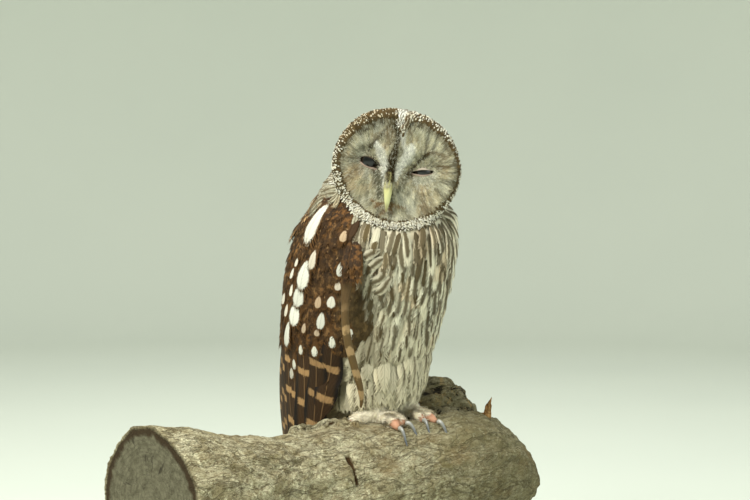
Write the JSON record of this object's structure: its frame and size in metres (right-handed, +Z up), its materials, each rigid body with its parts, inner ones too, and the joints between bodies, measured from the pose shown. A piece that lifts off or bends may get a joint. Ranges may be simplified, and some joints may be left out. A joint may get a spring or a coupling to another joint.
{
  "type": "perched ural owl display model",
  "caption": "Life-size Ural owl dozing with turned head on a cut length of log, held by a plain flat base with upright rods.",
  "frame": {"origin": "centre of the display base's underside, where it rests on the floor", "axes": "+Z up; -Y the way the bird's body faces; +X the bird's left, along the log"},
  "size_m": [0.53, 0.2688, 0.5683],
  "materials": {
    "plumage_pale": "soft off-white breast and leg feathers with dark streaks",
    "plumage_grey": "fine grey-buff facial feathers",
    "plumage_brown": "dark brown back, wing and tail feathers with white and buff spots and bars",
    "toe_skin": "toes with short cream feathering and bare pink pads",
    "claw": "smooth dark horn",
    "bill": "smooth pale yellow horn",
    "eye": "polished dark brown",
    "bark": "weathered grey-brown bark and sawn end grain",
    "stand_wood": "dark satin-varnished hardwood",
    "stand_steel": "brushed round rod"
  },
  "bodies": {
    "root": {"bill_lower": "bill", "bill_upper": "bill", "claw_hind_L": "claw", "claw_hind_R": "claw", "claw_inner_L": "claw", "claw_inner_R": "claw", "claw_middle_L": "claw", "claw_middle_R": "claw", "claw_outer_L": "claw", "claw_outer_R": "claw", "eye_L": "eye", "eye_R": "eye", "face_disc_L": "plumage_grey", "face_disc_R": "plumage_grey", "foot_L": "plumage_pale", "foot_R": "plumage_pale", "head": "plumage_brown", "leg_L": "plumage_pale", "leg_R": "plumage_pale", "loose_primary_R": "plumage_brown", "neck": "plumage_brown", "perch_log": "bark", "perch_stub": "bark", "stand_base": "stand_wood", "stand_rod_1": "stand_steel", "stand_rod_2": "stand_steel", "tail": "plumage_brown", "toe_hind_L": "toe_skin", "toe_hind_R": "toe_skin", "toe_inner_L": "toe_skin", "toe_inner_R": "toe_skin", "toe_middle_L": "toe_skin", "toe_middle_R": "toe_skin", "toe_outer_L": "toe_skin", "toe_outer_R": "toe_skin", "trunk": "plumage_pale", "wing_L": "plumage_brown", "wing_R": "plumage_brown"}
  },
  "joints": []
}
